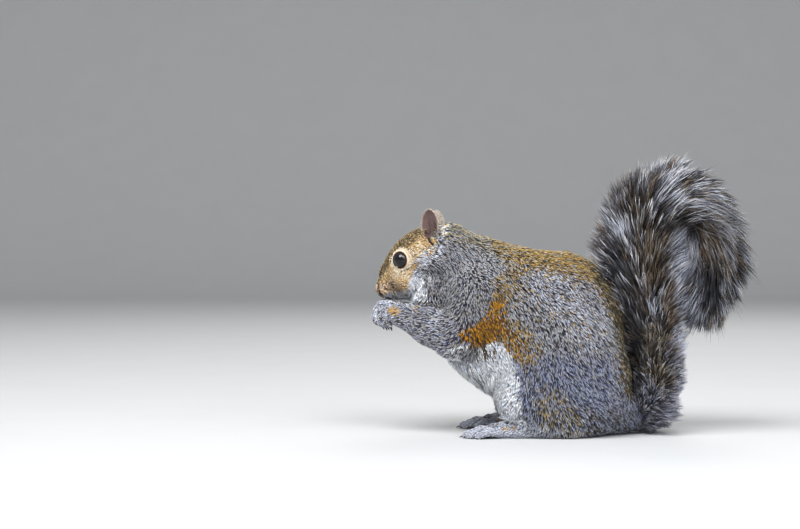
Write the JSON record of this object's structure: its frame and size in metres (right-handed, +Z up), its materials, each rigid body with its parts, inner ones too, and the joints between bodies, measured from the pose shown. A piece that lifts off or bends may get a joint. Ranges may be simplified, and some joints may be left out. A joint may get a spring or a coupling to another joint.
{
  "type": "grey squirrel",
  "caption": "Life-size grey squirrel sitting up on its haunches, forepaws at its mouth and bushy tail curled over behind; a still display model that rests on a floor.",
  "frame": {"origin": "middle of the plan outline, on the floor the squirrel sits on", "axes": "-X is the way the squirrel faces and +X is towards the tail, -Y is the animal's left side, +Z is up"},
  "size_m": [0.2228, 0.0816, 0.1628],
  "materials": {
    "body_fur": "grizzled grey fur, rust behind the arm, white below",
    "face_fur": "short buff and grey fur",
    "pale_fur": "short pale grey fur",
    "tail_fur": "long banded hair, dark at the root and white at the tip",
    "ear_skin": "thin skin with fine down",
    "nose_skin": "moist dark skin",
    "eye": "wet black"
  },
  "bodies": {
    "root": {"head": "face_fur", "nose": "nose_skin", "neck": "body_fur", "trunk": "body_fur", "tail_base": "tail_fur", "tail_middle": "tail_fur", "tail_tip": "tail_fur", "hind_foot_left": "pale_fur", "hind_foot_right": "pale_fur", "forepaw_left": "pale_fur", "forepaw_right": "pale_fur", "forearm_left": "body_fur", "forearm_right": "body_fur", "upper_arm_left": "body_fur", "upper_arm_right": "body_fur", "thigh_left": "body_fur", "thigh_right": "body_fur", "ear_left": "ear_skin", "ear_right": "ear_skin", "eye_left": "eye", "eye_right": "eye"}
  },
  "joints": []
}
